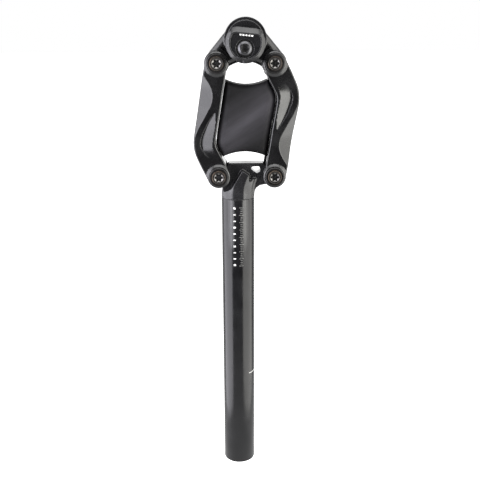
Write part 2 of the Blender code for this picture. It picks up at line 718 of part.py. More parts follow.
def main():
    clear_scene()
    anodised = make_material("black_anodised", (0.018, 0.018, 0.02), 0.32, 0.6)
    tube_black = make_material("tube_black", (0.02, 0.02, 0.022), 0.28, 0.6)
    rubber = make_material("dark_rubber", (0.035, 0.035, 0.038), 0.6, 0.0)
    steel = make_material("shaft_steel", (0.45, 0.45, 0.46), 0.3, 1.0)
    bolt_steel = make_material("bolt_steel", (0.25, 0.22, 0.19), 0.3, 1.0)
    bronze = make_material("bushing_bronze", (0.42, 0.3, 0.18), 0.4, 1.0)
    washer_black = make_material("washer_black", (0.03, 0.025, 0.022), 0.35, 0.4)

    points = pivots()
    rear_axis = joint_axis("rear_link_axis", *points["lower_rear"])
    front_axis = joint_axis("front_link_axis", *points["lower_front"])
    elastomer_axis = joint_axis("elastomer_axis", *ELASTOMER_AXIS)
    head_axis = joint_axis("upper_head_axis", *points["upper_rear"], rear_axis)
    clamp_axis = joint_axis("clamp_axis", BARREL_X, BARREL_Z, head_axis)

    build_tube(tube_black)
    build_lower_head(anodised)
    carry(head_axis, [build_upper_head(anodised)])
    rear_link, front_link = build_links(anodised)
    carry(rear_axis, [rear_link])
    carry(front_axis, [front_link])
    carry(elastomer_axis, [build_elastomer(rubber)])
    for name in points:
        turning, bushings = build_pivot(name, steel, bolt_steel, bronze, washer_black)
        carry(rear_axis if name.endswith("rear") else front_axis, turning)
        if name.startswith("upper"):
            carry(head_axis, bushings)
    for side, hand in SIDES:
        carry(clamp_axis, [build_inner_clamp(f"inner_clamp_{hand}", side, anodised)])
        carry(clamp_axis, [build_outer_clamp(f"outer_clamp_{hand}", side, anodised)])
    carry(clamp_axis, [build_clamp_bolt(bolt_steel), build_clamp_nut(bolt_steel)])
    carry(clamp_axis, [build_clamp_washer(bolt_steel)])


main()
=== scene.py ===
"""Looks of the suspension seatpost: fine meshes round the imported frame, finishes, light and camera.

Lengths are in metres, as in the frame. The fields that shape the forged pieces take
millimetres, and are negative inside the piece.
"""

import json
import math

import bmesh
import bpy
import numpy as np
from mathutils import Matrix, Vector


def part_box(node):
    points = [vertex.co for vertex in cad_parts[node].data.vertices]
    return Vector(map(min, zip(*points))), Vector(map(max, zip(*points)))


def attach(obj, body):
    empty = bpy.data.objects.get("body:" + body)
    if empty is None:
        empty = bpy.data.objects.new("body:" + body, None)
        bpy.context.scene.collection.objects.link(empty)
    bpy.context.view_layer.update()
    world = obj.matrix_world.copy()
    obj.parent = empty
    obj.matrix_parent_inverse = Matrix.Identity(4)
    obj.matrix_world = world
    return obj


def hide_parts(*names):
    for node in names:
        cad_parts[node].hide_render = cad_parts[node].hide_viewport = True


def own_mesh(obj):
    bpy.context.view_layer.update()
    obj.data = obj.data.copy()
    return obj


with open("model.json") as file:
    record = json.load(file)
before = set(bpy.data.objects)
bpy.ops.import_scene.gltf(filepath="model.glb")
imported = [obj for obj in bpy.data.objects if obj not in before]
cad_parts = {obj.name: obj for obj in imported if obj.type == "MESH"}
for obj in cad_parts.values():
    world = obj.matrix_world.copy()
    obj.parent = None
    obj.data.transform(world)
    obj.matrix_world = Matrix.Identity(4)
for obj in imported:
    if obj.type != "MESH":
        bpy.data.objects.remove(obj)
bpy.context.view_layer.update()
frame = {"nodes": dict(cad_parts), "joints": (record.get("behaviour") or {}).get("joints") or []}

MM = 0.001
SIDES = ((-1, "right"), (1, "left"))

HINGES = {j["name"]: Vector(j["pos_m"]) for j in frame["joints"] if j["type"] == "hinge"}
LOWER_REAR = HINGES["rear_link_swing"]
LOWER_FRONT = HINGES["front_link_swing"]
UPPER_REAR = HINGES["upper_head_level"]
UPPER_FRONT = LOWER_FRONT + UPPER_REAR - LOWER_REAR
BARREL = HINGES["clamp_tilt"]
PIVOTS = {
    "lower_rear": LOWER_REAR, "lower_front": LOWER_FRONT,
    "upper_rear": UPPER_REAR, "upper_front": UPPER_FRONT,
}
LINK_LENGTH = (UPPER_REAR - LOWER_REAR).length / MM
LINK_LEAN = math.atan2(LOWER_REAR.x - UPPER_REAR.x, UPPER_REAR.z - LOWER_REAR.z)
FULL_SWING = math.radians(next(
    j["range_deg"][1] for j in frame["joints"] if j["name"] == "rear_link_swing"))
CLAMP_TILT = math.radians(6)

# Sizes that the heads and the links share, in mm. Ears are the links' round ends.
# A steepness is how fast a slanted field grows, and divides it back to mm.
BOSS_RADIUS = 8.2
UPPER_BOSS_RADIUS = 10.0
BOSS_HALF_WIDTH = 11.6
BOSS_BORE = 6.2
EAR_RADIUS = 9.3
EAR_INNER = 13.0
EAR_TOP_RADIUS = 8.2
EAR_BORE = 5.0
EAR_CONE, EAR_CONE_STEEPNESS = 1.57, 1.86
LINK_HALF_WIDTH = 18.4
LINK_FACE = 17.0
LINK_ENDS = (-3.8, 94.3)
FLANK_SLANT, FLANK_STEEPNESS = 0.9, 1.345
POCKET_SLOPE = 0.3
POCKET_ENDS = (15.0, 52.0)
POCKET_GROWTH = 10.0
WASHER_RADIUS = 7.7
WEB_HALF_WIDTH = 6.5
WEB_TOP = 9.4
SWING_CLEARANCE = 0.7
FORK_CLEARANCE = 0.9

# Curves of a link's side view, in mm from the pivot at its wide end: (distance along the
# link, offset). Negative offsets are on the outer side, away from the elastomer.
LINK_OUTER = [
    (LINK_ENDS[0], -8.4), (4, -12.3), (10.6, -15.4), (17.6, -18.3), (22, -19.45), (26, -19.92),
    (30, -19.87), (38, -18.7), (48, -17.0), (62, -14.7), (76, -12.3),
    (LINK_ENDS[1], -8.6),
]
LINK_INNER = [
    (LINK_ENDS[0], 8.3), (3, 8.4), (8, 6.8), (12, 5.0), (20, 0.8), (24, -1.1), (28.5, -1.8),
    (38, -0.5), (53, 2.2), (66, 4.3), (78, 6.6), (84, 7.5),
    (LINK_ENDS[1], 8.2),
]
FLANK_EDGE = [
    (30, -20.5), (34, -18.4), (40.4, -15.4), (46, -12.0), (52, -8.6), (58, -5.3), (64, -3.9),
    (69.5, -4.3), (74.8, -6.4), (81, -10.2), (86, -13.0),
]
POCKET_OUTER = [(14, -5.5), (19, -10.8), (24.5, -14.1), (31, -13.8), (42, -9.0), (52, -2.4)]
POCKET_INNER = [(14, -2.6), (18.3, -2.6), (24.5, -4.4), (31, -4.0), (41, -2.0), (52, -1.2)]


# ---------------------------------------------------------------- fields


def hermite(knots, position):
    """The value at a position on the smooth curve through (position, value) knots."""
    last = len(knots) - 1
    index = max(k for k in range(last) if knots[k][0] <= position or k == 0)
    (p0, v0), (p1, v1) = knots[index], knots[index + 1]
    t = (position - p0) / (p1 - p0)
    m0, m1 = (slope_at(knots, k) * (p1 - p0) for k in (index, index + 1))
    start = v0 * (2 * t**3 - 3 * t**2 + 1) + m0 * (t**3 - 2 * t**2 + t)
    return start + v1 * (3 * t**2 - 2 * t**3) + m1 * (t**3 - t**2)


def slope_at(knots, index):
    """The curve's slope at a knot, which is that of the line between its neighbours."""
    before = knots[max(index - 1, 0)]
    after = knots[min(index + 1, len(knots) - 1)]
    return (after[1] - before[1]) / (after[0] - before[0])


def curve(knots, samples=400):
    """A function of an array of positions, which follows the smooth curve through knots."""
    positions = np.linspace(knots[0][0], knots[-1][0], samples)
    values = [hermite(knots, position) for position in positions]
    return lambda at: np.interp(at, positions, values)


def both(a, b, radius):
    """The space that two fields share, with its convex edge rounded."""
    edge = np.hypot(np.maximum(a + radius, 0), np.maximum(b + radius, 0))
    return np.minimum(np.maximum(a, b), -radius) + edge


def either(a, b, radius):
    """The space of two fields together, with a fillet of that radius between them."""
    fillet = np.hypot(np.maximum(radius - a, 0), np.maximum(radius - b, 0))
    return np.maximum(np.minimum(a, b), radius) - fillet


def without(a, b, radius):
    """The first field's space less the second's, with a rounded rim."""
    return both(a, -b, radius)


def disc(x, z, centre, radius):
    """Signed distance from (x, z) to a circle, which is a cylinder along Y."""
    return np.hypot(x - centre[0], z - centre[1]) - radius


def outline(points, x, z):
    """Signed distance from (x, z) to a closed outline."""
    x, z = np.broadcast_arrays(x, z)
    nearest = np.full(x.shape, np.inf)
    inside = np.zeros(x.shape, bool)
    for (x0, z0), (x1, z1) in zip(points, points[1:] + points[:1]):
        dx, dz = x1 - x0, z1 - z0
        share = np.clip(((x - x0) * dx + (z - z0) * dz) / (dx * dx + dz * dz), 0, 1)
        nearest = np.minimum(nearest, np.hypot(x - x0 - share * dx, z - z0 - share * dz))
        if dz:
            inside ^= ((z0 > z) != (z1 > z)) & (x < x0 + (z - z0) * dx / dz)
    return np.where(inside, -nearest, nearest)


def arc(centre, radius, start, end, steps=16):
    """Points on an arc, with its angles in degrees from +X towards +Z."""
    angles = np.radians(np.linspace(start, end, steps + 1))
    x, z = centre
    return [(x + radius * math.cos(a), z + radius * math.sin(a)) for a in angles]


def in_mm(point):
    """A frame point's (x, z), in millimetres."""
    return point.x / MM, point.z / MM


# ---------------------------------------------------------------- meshes


def add_mesh(name, vertices, faces, materials=(), smooth_angle=None):
    """A new smooth object. With smooth_angle in degrees, sharper edges stay sharp."""
    mesh = bpy.data.meshes.new(name)
    mesh.from_pydata(vertices, [], faces)
    mesh.shade_smooth()
    if smooth_angle:
        mesh.set_sharp_from_angle(angle=math.radians(smooth_angle))
    for material in materials:
        mesh.materials.append(material)
    piece = bpy.data.objects.new(name, mesh)
    bpy.context.scene.collection.objects.link(piece)
    return piece


def solid(name, field, low, high, cell, material):
    """The surface of a field inside a box in mm: a point in each cell that it crosses,
    pulled onto the surface, and a face across each grid edge that it crosses."""
    axes = [np.arange(a - 1.5 * cell, b + 2.5 * cell, cell) for a, b in zip(low, high)]
    inside = field(*np.meshgrid(*axes, indexing="ij", sparse=True)) < 0
    count = sum(
        inside[i:i - 1 or None, j:j - 1 or None, k:k - 1 or None].astype(np.int8)
        for i in (0, 1) for j in (0, 1) for k in (0, 1)
    )
    mixed = (count > 0) & (count < 8)
    index = np.full(mixed.shape, -1)
    index[mixed] = np.arange(mixed.sum())
    start = np.array([axis[0] for axis in axes]) + cell / 2
    points = pull_onto(field, start + np.argwhere(mixed) * cell, cell)
    faces = np.concatenate([crossings(inside, index, axis) for axis in range(3)])
    piece = add_mesh(name, points * MM, faces.tolist(), [material])
    piece.data.normals_split_custom_set_from_vertices(gradient(field, points, 0.02)[1])
    return piece


def gradient(field, points, step):
    """The field at some points, and the unit vectors along which it grows."""
    value = field(*points.T)
    slopes = []
    for axis in range(3):
        shift = np.zeros(3)
        shift[axis] = step
        slopes.append(field(*(points + shift).T) - field(*(points - shift).T))
    slope = np.array(slopes).T / (2 * step)
    length = np.maximum(np.linalg.norm(slope, axis=1, keepdims=True), 1e-6)
    return value / length[:, 0], slope / length


def pull_onto(field, points, cell, rounds=4):
    """The points, moved onto the field's surface by a few steps of at most a cell."""
    for _ in range(rounds):
        distance, direction = gradient(field, points, 0.05)
        points = points - direction * np.clip(distance, -cell, cell)[:, None]
    return points


def crossings(inside, index, axis):
    """Faces across the grid edges along one axis that pass through the surface."""
    turn = [(axis + k) % 3 for k in range(3)]
    inside, index = inside.transpose(turn), index.transpose(turn)
    low, high = inside[:-1, 1:-1, 1:-1], inside[1:, 1:-1, 1:-1]
    corners = [index[:, :-1, :-1], index[:, 1:, :-1], index[:, 1:, 1:], index[:, :-1, 1:]]
    faces = []
    for crossing, order in ((low & ~high, (0, 1, 2, 3)), (high & ~low, (3, 2, 1, 0))):
        faces.append(np.stack([corners[k][crossing] for k in order], axis=1))
    return np.concatenate(faces)


def ring(radius, y, steps, lobes=0.0):
    """A ring round Y in mm, as metres. lobes is the height of six waves on its radius."""
    points = []
    for step in range(steps):
        angle = 2 * math.pi * step / steps
        reach = radius + lobes * math.cos(6 * angle)
        points.append((reach * math.cos(angle) * MM, y * MM, reach * math.sin(angle) * MM))
    return points


def loft(name, rings, materials, kinds=None, closed=False, smooth_angle=35):
    """A skin through equal rings. kinds gives the material of each band between rings."""
    steps = len(rings[0])
    vertices = [point for one in rings for point in one]
    faces = []
    bands = list(range(len(rings) if closed else len(rings) - 1))
    for band in bands:
        low, high = band * steps, (band + 1) % len(rings) * steps
        for i in range(steps):
            j = (i + 1) % steps
            faces.append((low + i, low + j, high + j, high + i))
    if not closed:
        faces.append(tuple(range(steps))[::-1])
        faces.append(tuple(range((len(rings) - 1) * steps, len(rings) * steps)))
    piece = add_mesh(name, vertices, faces, materials, smooth_angle)
    if kinds:
        for face in piece.data.polygons[:len(bands) * steps]:
            face.material_index = kinds[face.index // steps]
    tidy_normals(piece)
    return piece


def tidy_normals(piece):
    """Turns all the faces of a closed mesh outward."""
    mesh_data = bmesh.new()
    mesh_data.from_mesh(piece.data)
    bmesh.ops.recalc_face_normals(mesh_data, faces=mesh_data.faces)
    mesh_data.to_mesh(piece.data)
    mesh_data.free()


def rounded(profile, radius, steps=4):
    """A closed (radius, y) profile with each convex or concave corner rounded."""
    points = []
    count = len(profile)
    for k in range(count):
        before, corner, after = (Vector(profile[(k + d) % count]) for d in (-1, 0, 1))
        ways = (before - corner).normalized(), (after - corner).normalized()
        reach = min(radius, 0.45 * (before - corner).length, 0.45 * (after - corner).length)
        start, end = corner + ways[0] * reach, corner + ways[1] * reach
        for step in range(steps + 1):
            t = step / steps
            points.append(tuple(start * (1 - t)**2 + corner * 2 * t * (1 - t) + end * t**2))
    return points


def turned(name, profile, materials, steps=64, upright=False, rounding=0.0, smooth_angle=35):
    """A ring-shaped piece turned about Y, or about Z, from a closed (radius, y) profile."""
    if rounding:
        profile = rounded(profile, rounding)
    rings = [ring(radius, y, steps) for radius, y in profile]
    piece = loft(name, rings, materials, closed=True, smooth_angle=smooth_angle)
    if upright:
        piece.data.transform(Matrix.Rotation(math.radians(90), 4, "X"))
    return piece


def stand(piece, at, turn=0.0, about="Y"):
    """Moves the piece's mesh so that its origin is at a frame point, turned about an axis."""
    piece.data.transform(Matrix.Translation(at) @ Matrix.Rotation(turn, 4, about))
    return piece


def fit_in(piece, body, nodes=()):
    """Says which body a finished piece rides on and which CAD nodes it stands for."""
    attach(piece, body)
    if nodes:
        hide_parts(*nodes)
    return piece


# ---------------------------------------------------------------- finishes


def node(tree, kind, inputs=None, **settings):
    """A new shader node. An input's value may be another node's output."""
    made = tree.nodes.new(kind)
    for name, value in settings.items():
        setattr(made, name, value)
    for name, value in (inputs or {}).items():
        if isinstance(value, bpy.types.NodeSocket):
            tree.links.new(value, made.inputs[name])
        else:
            made.inputs[name].default_value = value
    return made


def spread(tree, value, low, high, to_low, to_high):
    """The value, moved from one range to another and kept inside it."""
    ranges = {"Value": value, "From Min": low, "From Max": high,
              "To Min": to_low, "To Max": to_high}
    return node(tree, "ShaderNodeMapRange", ranges).outputs[0]


def noise(tree, size, detail=4.0, place=None):
    """Noise with features of about that size in metres, in the piece's own coordinates."""
    if place is None:
        place = node(tree, "ShaderNodeTexCoord").outputs["Object"]
    return node(tree, "ShaderNodeTexNoise", {
        "Vector": place, "Scale": 1 / size, "Detail": detail}).outputs[0]


def product(tree, a, b):
    """Two shader values multiplied."""
    return node(tree, "ShaderNodeMath", {0: a, 1: b}, operation="MULTIPLY").outputs[0]


def mixed_colour(tree, share, first, second):
    """The first colour where the share is 0 and the second where it is 1."""
    return node(tree, "ShaderNodeMixRGB", {
        "Fac": share, "Color1": first, "Color2": second}).outputs[0]


def finish(name, colour, roughness, metallic=0.0, ior=1.5, edge_wear_and_highlight=None, grain=0.3 * MM,
           relief=0.004 * MM, cloud=0.06, specular=0.5):
    """A procedural finish: fine blasted grain, cloudy gloss and colour, and sharp edges painted
    lighter, partly as wear and partly as a painted edge highlight.
    """
    material = bpy.data.materials.new(name)
    material.use_nodes = True
    tree = material.node_tree
    shader = tree.nodes["Principled BSDF"]
    shader.inputs["Metallic"].default_value = metallic
    shader.inputs["IOR"].default_value = ior
    shader.inputs["Specular IOR Level"].default_value = specular
    clouds = noise(tree, 14 * MM)
    specks = noise(tree, grain, 2.0)
    dark = tuple(0.8 * c for c in colour) + (1,)
    light = tuple(1.25 * c for c in colour) + (1,)
    paint = mixed_colour(tree, spread(tree, clouds, 0.35, 0.65, 0, 1), dark, light)
    # Sharp edges, found by pointiness, take a lighter colour: partly edge wear, partly a painted
    # highlight along the edges.
    if edge_wear_and_highlight:
        edges = node(tree, "ShaderNodeNewGeometry").outputs["Pointiness"]
        share = product(tree, spread(tree, edges, 0.53, 0.62, 0, 0.7),
                        spread(tree, specks, 0.35, 0.6, 0.3, 1))
        paint = mixed_colour(tree, share, paint, (*edge_wear_and_highlight, 1))
    tree.links.new(paint, shader.inputs["Base Color"])
    gloss = node(tree, "ShaderNodeMath", {
        0: spread(tree, clouds, 0.3, 0.7, roughness - cloud, roughness + cloud),
        1: spread(tree, specks, 0.3, 0.7, -0.03, 0.03)}, operation="ADD")
    tree.links.new(gloss.outputs[0], shader.inputs["Roughness"])
    bump = node(tree, "ShaderNodeBump", {"Height": specks, "Strength": 0.6, "Distance": relief})
    tree.links.new(bump.outputs[0], shader.inputs["Normal"])
    return material


# Middle and slant of the painted sheen band on the rubber.
RUBBER_MIDDLE = (LOWER_REAR + UPPER_FRONT) / 2
RUBBER_SLANT = math.radians(33)


def rubber_finish(name):
    """Satin charcoal rubber, with a painted sheen: a lighter slanting band in its colour, streaked by
    finer noise, where it is also less rough.
    """
    material = finish(name, (0.006, 0.006, 0.0063), 0.5, grain=0.5 * MM, relief=0.02 * MM,
                      specular=0.12)
    tree = material.node_tree
    shader = tree.nodes["Principled BSDF"]
    place = node(tree, "ShaderNodeTexCoord").outputs["Object"]
    slanted = node(tree, "ShaderNodeVectorRotate", {
        "Vector": place, "Center": RUBBER_MIDDLE, "Angle": RUBBER_SLANT}, rotation_type="Y_AXIS")
    shifted = node(tree, "ShaderNodeVectorMath", {0: slanted.outputs[0], 1: RUBBER_MIDDLE},
                   operation="SUBTRACT")
    parts = node(tree, "ShaderNodeSeparateXYZ", {"Vector": shifted.outputs[0]})
    off = node(tree, "ShaderNodeMath", {0: parts.outputs["Z"]}, operation="ABSOLUTE")
    # Painted sheen: the colour is lighter in a slanting band across the block's middle, streaked
    # within it by stretched noise.
    band = spread(tree, off.outputs[0], 2 * MM, 23 * MM, 1, 0.04)
    stretch = node(tree, "ShaderNodeVectorMath", {0: shifted.outputs[0], 1: (0.3, 0.3, 1.6)},
                   operation="MULTIPLY")
    marks = noise(tree, 13 * MM, 3.0, stretch.outputs[0])
    share = product(tree, band, spread(tree, marks, 0.36, 0.66, 0.6, 1))
    plain = shader.inputs["Base Color"].links[0].from_socket
    painted_sheen = mixed_colour(tree, share, plain, (0.047, 0.045, 0.051, 1))
    tree.links.new(painted_sheen, shader.inputs["Base Color"])
    tree.links.new(spread(tree, share, 0, 1, 0.58, 0.45), shader.inputs["Roughness"])
    return material


# The edge colours given below lighten sharp edges, partly as wear and partly as a painted edge
# highlight.
ANODISED = finish("black_anodised", (0.0045, 0.0045, 0.005), 0.25, edge_wear_and_highlight=(0.10, 0.10, 0.11),
                  ior=1.63)
HEAD_BLACK = finish("head_black", (0.013, 0.013, 0.0145), 0.25, edge_wear_and_highlight=(0.12, 0.12, 0.13), ior=1.63)
TUBE_BLACK = finish("tube_black", (0.008, 0.008, 0.009), 0.2, relief=0.002 * MM)
CLAMP_BLACK = finish("clamp_black", (0.007, 0.007, 0.008), 0.27, edge_wear_and_highlight=(0.12, 0.12, 0.13),
                     ior=1.6)
RUBBER = rubber_finish("elastomer_rubber")
STEEL = finish("polished_steel", (0.55, 0.54, 0.53), 0.25, 1.0, grain=0.15 * MM)
DARK_STEEL = finish("black_oxide_steel", (0.10, 0.10, 0.105), 0.3, 1.0, edge_wear_and_highlight=(0.3, 0.3, 0.3))
SILVER = finish("silver_steel", (0.15, 0.145, 0.14), 0.22, 1.0, grain=0.15 * MM)
BRONZE = finish("bronze_ring", (0.095, 0.07, 0.05), 0.28, 1.0, grain=0.15 * MM)
BROWN = finish("brown_steel", (0.045, 0.034, 0.027), 0.35, 1.0, grain=0.15 * MM)
BUSHING = finish("bushing_bronze", (0.42, 0.3, 0.18), 0.4, 1.0, grain=0.2 * MM)
WASHER = finish("washer_black", (0.006, 0.0055, 0.0055), 0.3, edge_wear_and_highlight=(0.03, 0.03, 0.03))
# Near-black, far darker than the bolts' steel: painted shade in bolt sockets and in a groove, and a
# dark ring on the pivot bolts' faces.
SOCKET_SHADE_BLACK = finish("socket_shade_black", (0.006, 0.006, 0.006), 0.5)
PAINT = finish("white_paint", (0.75, 0.75, 0.74), 0.5, cloud=0.04)
GREY_PAINT = finish("grey_paint", (0.16, 0.16, 0.155), 0.5, cloud=0.04)


# ---------------------------------------------------------------- tube and its marks

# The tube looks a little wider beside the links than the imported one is.
TUBE_SWELL = 0.4
TUBE_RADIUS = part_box("post_tube")[1][0] / MM + TUBE_SWELL
TUBE_TOP = 251.5
TUBE_WALL = 2.0
PRINT_RELIEF = 0.05


def build_tube():
    """The hollow post, with a small chamfer at its foot and at its top."""
    inner, outer = TUBE_RADIUS - TUBE_WALL, TUBE_RADIUS
    foot = [(inner, 0.3), (inner + 0.3, 0.0), (outer - 0.6, 0.0), (outer - 0.15, 0.25)]
    side = [(outer, height) for height in (0.7, 60, 120, 180, TUBE_TOP - 0.7)]
    profile = foot + side + [(outer - 0.4, TUBE_TOP), (inner, TUBE_TOP)]
    tube = turned("seatpost_tube", profile, [TUBE_BLACK], 160, upright=True)
    return fit_in(tube, "root", ["post_tube"])


def printed_bars(name, spots, material):
    """Thin printed bars on the tube: (angle, height, half width, half height) each, in
    degrees from the tube's right side towards its front, and mm."""
    vertices, faces = [], []
    for angle, height, half_width, half_height in spots:
        steps = max(2, round(half_width / 0.6))
        start = len(vertices)
        sweep = math.degrees(half_width / TUBE_RADIUS)
        for radius in (TUBE_RADIUS - PRINT_RELIEF, TUBE_RADIUS + PRINT_RELIEF):
            for edge in (-half_height, half_height):
                for step in range(steps + 1):
                    a = math.radians(angle - sweep + 2 * sweep * step / steps)
                    vertices.append((radius * math.sin(a) * MM, -radius * math.cos(a) * MM,
                                     (height + edge) * MM))
        row = steps + 1
        inner_low, inner_high, outer_low, outer_high = (start + k * row for k in range(4))
        for k in range(steps):
            for a, b in ((outer_low, outer_high), (outer_high, inner_high),
                         (inner_high, inner_low), (inner_low, outer_low)):
                faces.append((a + k, a + k + 1, b + k + 1, b + k))
        for k in (0, steps):
            faces.append((inner_low + k, outer_low + k, outer_high + k, inner_high + k))
    piece = add_mesh(name, vertices, faces, [material], 30)
    tidy_normals(piece)
    return fit_in(piece, "root")


def build_tube_marks():
    """Plain tick marks: a scale near the head, and the ring where least insertion ends."""
    pitch, fine_pitch = 5.55, 1.6
    ticks = [(-13.6, 244.3 - pitch * k, 1.05, 0.55 if k % 3 else 0.8) for k in range(10)]
    fine = [(10.5, 244.8 - fine_pitch * k, 0.9 if k % 4 else 1.9, 0.22) for k in range(33)]
    printed_bars("setting_scale", ticks, PAINT)
    printed_bars("fine_scale", fine, GREY_PAINT)
    printed_bars("least_insertion_ring", [(93.3, 90.6, 13.4, 0.32)], PAINT)


# ---------------------------------------------------------------- heads

NECK_RADIUS = 13.8 + TUBE_SWELL
NECK_FLAT = 13.63
NECK_BEND = 256
NECK_LEAN = 0.0168
NECK_HOLLOW = 15.0
SEAM_GAP = 0.15
WINDOW_ROUNDING = 1.5


def neck_outline():
    """Side outline that the round neck keeps in front of the web: a ridge to one side."""
    sweep = arc(in_mm(LOWER_REAR), NECK_HOLLOW, -82, -46)
    ridge = [
        (3.2, 275.2), (4.2, 275.6), (9.0, 272.0), (9.2, 266.8), (11.2, 266.8), (12.8, 268.8),
        (18, 268.5),
    ]
    return sweep + ridge + [(18, 240), (-16, 240)]


def web_outline():
    """Side outline of the plate that joins the neck and the two lower bosses."""
    (rear_x, height), (front_x, _) = in_mm(LOWER_REAR), in_mm(LOWER_FRONT)
    shoulder, top = height + 5.5, height + WEB_TOP
    neck_side = [(-13.2, 254), (-13.4, 261), (-15.5, 264.5)]
    upper = [
        (rear_x, height), (rear_x + 5, shoulder), (rear_x + 9, top),
        (front_x - 9, top), (front_x - 5, shoulder), (front_x, height),
        (front_x - 1, height - BOSS_RADIUS + 0.2),
    ]
    flare = [(23.5, 263.2), (18.6, 262.3), (15.6, 260.2), (13.9, 256.8), (13.2, 252.5)]
    return neck_side + upper + flare


def web_window():
    """Outline of the small hole through the web, as an arc at each of its corners."""
    corners = [
        (12.7, 276.8, 215, 90), (16.9, 276.9, 90, 0), (16.9, 275.0, 0, -60),
        (16.0, 274.4, -60, -130),
    ]
    return [point for x, z, start, end in corners
            for point in arc((x, z), WINDOW_ROUNDING, start, end, 6)]


def lower_head_field():
    """The neck and its ridge, the web with its window, and the two lower bosses."""
    neck_sides, web_sides, window = neck_outline(), web_outline(), web_window()
    rear, front = in_mm(LOWER_REAR), in_mm(LOWER_FRONT)

    def field(x, y, z):
        reach = np.abs(y)
        lean = NECK_LEAN * np.maximum(0, z - NECK_BEND) ** 2
        neck = np.hypot(x - lean, y) - NECK_RADIUS
        neck = both(neck, TUBE_TOP + SEAM_GAP - z, 0.4)
        neck = both(neck, reach - NECK_FLAT, 0.2)
        neck = both(neck, outline(neck_sides, x, z), 0.4)
        web = both(outline(web_sides, x, z), reach - WEB_HALF_WIDTH, 1.0)
        web = both(web, TUBE_TOP + 2 * SEAM_GAP - z, 0.2)
        head = either(neck, web, 1.2)
        for pivot in (rear, front):
            boss = both(disc(x, z, pivot, BOSS_RADIUS), reach - BOSS_HALF_WIDTH, 0.5)
            head = either(head, boss, 0.8)
        for pivot in (rear, front):
            head = without(head, disc(x, z, pivot, BOSS_BORE), 0.3)
        return without(head, outline(window, x, z), 0.5)

    return field


def build_lower_head():
    """The lower forging, and the spigot that holds it inside the tube."""
    forging = solid("lower_head_forging", lower_head_field(), (-25, -14.2, 251),
                    (39, 14.2, 282.5), 0.5, HEAD_BLACK)
    fit_in(forging, "root", ["lower_head"])
    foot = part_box("lower_head")[0][2] / MM
    top = TUBE_TOP + 0.9
    inner, outer, bevel = 8.4, 11.3, 0.5
    profile = [(inner, foot + bevel), (inner + bevel, foot), (outer - bevel, foot),
               (outer, foot + bevel), (outer, top), (inner, top)]
    spigot = turned("lower_head_spigot", profile, [HEAD_BLACK], 96, upright=True)
    fit_in(spigot, "root")


BARREL_RADIUS = 16.4
BARREL_HALF_WIDTH = 13.4
BARREL_BORE = 12.6
ARCH_RADIUS = 23.6
ARCH_DROP = 22.6
SCOOP_FLOOR = 8.6


def upper_head_outline():
    """Side outline of the upper head: the barrel, both bosses and the arch below."""
    rear, front = in_mm(UPPER_REAR), in_mm(UPPER_FRONT)
    points = arc(in_mm(BARREL), BARREL_RADIUS, 25, 155)
    points += arc(rear, UPPER_BOSS_RADIUS, 145, 330)
    points += arc(((rear[0] + front[0]) / 2, rear[1] - ARCH_DROP), ARCH_RADIUS, 129, 51)
    return points + arc(front, UPPER_BOSS_RADIUS, 210, 395)


def upper_head_field():
    """The barrel, the arms with a scoop in each, and the two upper bosses."""
    sides = upper_head_outline()
    barrel = in_mm(BARREL)
    corners = [(6.8, 9.8), (12.8, 5.4), (11.8, 11.2), (8.0, 13.0), (4.4, 12.2)]
    scoops = []
    for pivot, direction in ((UPPER_REAR, 1), (UPPER_FRONT, -1)):
        x, z = in_mm(pivot)
        scoops.append([(x + direction * across, z + up) for across, up in corners])

    def field(x, y, z):
        reach = np.abs(y)
        head = both(outline(sides, x, z), reach - BOSS_HALF_WIDTH, 5.6)
        drum = both(disc(x, z, barrel, BARREL_RADIUS), reach - BARREL_HALF_WIDTH, 0.6)
        head = either(head, drum, 1.2)
        for pivot in (UPPER_REAR, UPPER_FRONT):
            boss = both(disc(x, z, in_mm(pivot), UPPER_BOSS_RADIUS), reach - BOSS_HALF_WIDTH, 0.5)
            head = np.minimum(head, boss)
        for scoop in scoops:
            hollow = both(outline(scoop, x, z) - 0.6, SCOOP_FLOOR - reach, 0.8)
            head = without(head, hollow, 0.6)
        for pivot in (UPPER_REAR, UPPER_FRONT):
            head = without(head, disc(x, z, in_mm(pivot), BOSS_BORE), 0.3)
        return without(head, disc(x, z, barrel, BARREL_BORE), 0.3)

    return field


def build_upper_head():
    """The upper forging."""
    head = solid("upper_head_forging", upper_head_field(), (-28, -13.6, 352),
                 (41, 13.6, 397.5), 0.55, ANODISED)
    fit_in(head, "upper_head", ["upper_head"])


# ---------------------------------------------------------------- links

# The curves slant, so a gap measured straight across them is more than their distance.
SLANT_SHARE = 0.93
POCKET_SHARE = 0.9
ARM_REACH = 5.0


def swing_notches():
    """Cuts that clear the heads, in a link's own view: (direction, distance, half width).
    A cut starts that distance short of the narrow end's pivot and goes on in its direction."""
    resting, swung = (0, 1), (math.sin(FULL_SWING), math.cos(FULL_SWING))
    web_reach, web_half_width = WEB_TOP + SWING_CLEARANCE, WEB_HALF_WIDTH + SWING_CLEARANCE
    return [
        (resting, web_reach, web_half_width),
        (swung, web_reach, web_half_width),
        (swung, ARM_REACH + SWING_CLEARANCE, BOSS_HALF_WIDTH + SWING_CLEARANCE),
    ]


def pocket_field():
    """The shallow pocket on a link's face: a slope that deepens away from its inner edge."""
    low, high = curve(POCKET_OUTER), curve(POCKET_INNER)
    start, end = POCKET_ENDS

    def field(x, reach, z):
        growth = np.clip((z - start) / POCKET_GROWTH, 0, 1)
        growth = growth * growth * (3 - 2 * growth)
        depth = POCKET_SLOPE * np.maximum(high(z) - x, 0) * growth
        across = np.maximum(low(z) - x, x - high(z))
        sides = np.maximum(across, np.maximum(start - z, z - end))
        return both(sides, (LINK_FACE - depth - reach) * POCKET_SHARE, 0.2)

    return field


